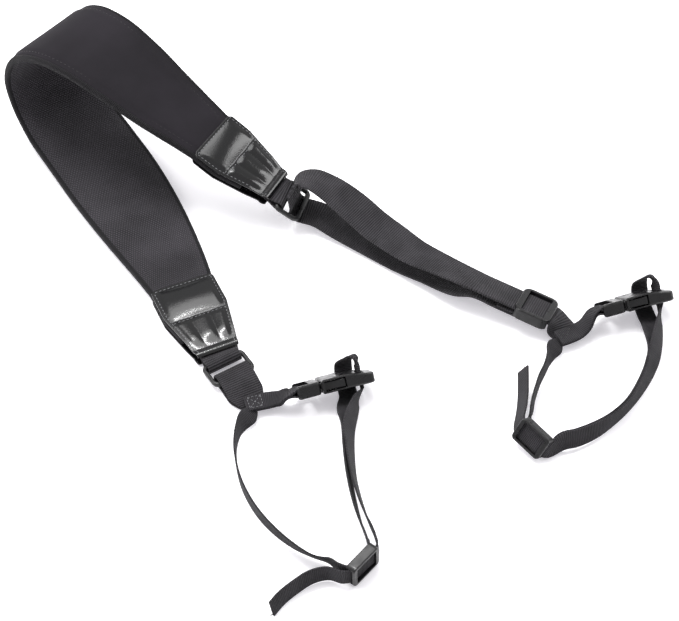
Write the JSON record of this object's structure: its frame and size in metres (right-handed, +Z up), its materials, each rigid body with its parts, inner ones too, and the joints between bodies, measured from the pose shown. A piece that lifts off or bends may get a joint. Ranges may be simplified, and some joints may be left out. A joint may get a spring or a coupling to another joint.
{
  "type": "padded strap with quick-release loops",
  "caption": "Padded neoprene shoulder strap with leather tabs and webbing arms that end in quick-release buckles and adjustable narrow loops",
  "frame": {"origin": "on the table, under the middle of the strap as it lies", "axes": "+Z up from the table, +X towards the end of the long arm's buckle, +Y towards the bend of the pad"},
  "size_m": [0.4841, 0.4848, 0.1019],
  "materials": {
    "neoprene": "matt knitted face over foam",
    "grip_lining": "matt cloth with a fine grid of raised dots",
    "binding": "folded woven tape",
    "patent_leather": "high gloss, creased",
    "webbing": "ribbed weave",
    "narrow_webbing": "fine ribbed weave",
    "acetal": "moulded, low sheen"
  },
  "bodies": {
    "pad": {"pad_core": "neoprene", "pad_face": "neoprene", "pad_lining": "grip_lining", "binding_left": "binding", "binding_right": "binding", "tab_a_outer": "patent_leather", "tab_a_inner": "patent_leather", "tab_b_outer": "patent_leather", "tab_b_inner": "patent_leather", "keeper_a": "webbing", "keeper_b": "webbing"},
    "ring_a": {"ring_a": "acetal"},
    "arm_a": {"web_a_running": "webbing", "web_a_return": "webbing", "tab_strap_a": "narrow_webbing", "male_a": "acetal", "loop_lead_a": "narrow_webbing"},
    "slider_a": {"slider_a": "acetal", "web_a_anchor": "webbing"},
    "prong_a_upper": {"prong_a_upper": "acetal"},
    "prong_a_lower": {"prong_a_lower": "acetal"},
    "loop_a": {"female_a": "acetal", "loop_strap_a": "narrow_webbing"},
    "mini_a": {"mini_slider_a": "acetal"},
    "ring_b": {"ring_b": "acetal"},
    "arm_b": {"web_b": "webbing", "tab_strap_b": "narrow_webbing", "male_b": "acetal", "loop_lead_b": "narrow_webbing"},
    "prong_b_upper": {"prong_b_upper": "acetal"},
    "prong_b_lower": {"prong_b_lower": "acetal"},
    "loop_b": {"female_b": "acetal", "loop_strap_b": "narrow_webbing"},
    "mini_b": {"mini_slider_b": "acetal"}
  },
  "joints": [
    {"name": "ring_a_swing", "type": "hinge", "parent": "pad", "child": "ring_a", "pos_m": [-0.03127, 0.09858, 0.02251], "axis": [0.309, 0.9511, 0], "range_deg": [-25, 25]},
    {"name": "arm_a_swing", "type": "hinge", "parent": "ring_a", "child": "arm_a", "pos_m": [-0.01713, 0.09398, 0.01427], "axis": [0.309, 0.9511, 0], "range_deg": [-2, 20]},
    {"name": "slider_a_slide", "type": "slide", "parent": "arm_a", "child": "slider_a", "axis": [0.8951, -0.4174, -0.1564], "range_m": [-0.028, 0], "deforming": ["web_a_return"]},
    {"name": "ring_b_swing", "type": "hinge", "parent": "pad", "child": "ring_b", "pos_m": [-0.06943, -0.04542, 0.0056], "axis": [0.8387, 0.5446, 0], "range_deg": [-25, 25]},
    {"name": "arm_b_swing", "type": "hinge", "parent": "ring_b", "child": "arm_b", "pos_m": [-0.06017, -0.05968, 0.0056], "axis": [0.8387, 0.5446, 0], "range_deg": [-15, 20]},
    {"name": "release_a", "type": "slide", "parent": "arm_a", "child": "loop_a", "axis": [0.9397, 0.342, 0], "range_m": [0, 0.021]},
    {"name": "prong_a_upper_flex", "type": "hinge", "parent": "arm_a", "child": "prong_a_upper", "pos_m": [0.207, -0.00664, 0.01865], "axis": [-0.2289, 0.6288, 0.7431], "range_deg": [0, 10.6], "stiffness_Nm_per_rad": 0.02},
    {"name": "prong_a_lower_flex", "type": "hinge", "parent": "arm_a", "child": "prong_a_lower", "pos_m": [0.20385, 0.00202, 0.01035], "axis": [0.2289, -0.6288, -0.7431], "range_deg": [0, 10.6], "stiffness_Nm_per_rad": 0.02},
    {"name": "release_b", "type": "slide", "parent": "arm_b", "child": "loop_b", "axis": [0.9455, 0.3256, 0], "range_m": [0, 0.021]},
    {"name": "prong_b_upper_flex", "type": "hinge", "parent": "arm_b", "child": "prong_b_upper", "pos_m": [-0.00097, -0.07936, 0.01865], "axis": [-0.2179, 0.6327, 0.7431], "range_deg": [0, 10.6], "stiffness_Nm_per_rad": 0.02},
    {"name": "prong_b_lower_flex", "type": "hinge", "parent": "arm_b", "child": "prong_b_lower", "pos_m": [-0.00397, -0.07065, 0.01035], "axis": [0.2179, -0.6327, -0.7431], "range_deg": [0, 10.6], "stiffness_Nm_per_rad": 0.02},
    {"name": "mini_slider_a_slide", "type": "slide", "parent": "loop_a", "child": "mini_a", "axis": [0.6641, -0.7376, -0.1219], "range_m": [-0.002, 0.003]},
    {"name": "mini_slider_b_slide", "type": "slide", "parent": "loop_b", "child": "mini_b", "axis": [0.6428, 0.766, 0], "range_m": [0, 0.003]}
  ],
  "couplings": [
    {"joint": "prong_a_upper_flex", "follows": "release_a", "rad_per_m": 8.73},
    {"joint": "prong_a_lower_flex", "follows": "release_a", "rad_per_m": 8.73},
    {"joint": "prong_b_upper_flex", "follows": "release_b", "rad_per_m": 8.73},
    {"joint": "prong_b_lower_flex", "follows": "release_b", "rad_per_m": 8.73}
  ]
}
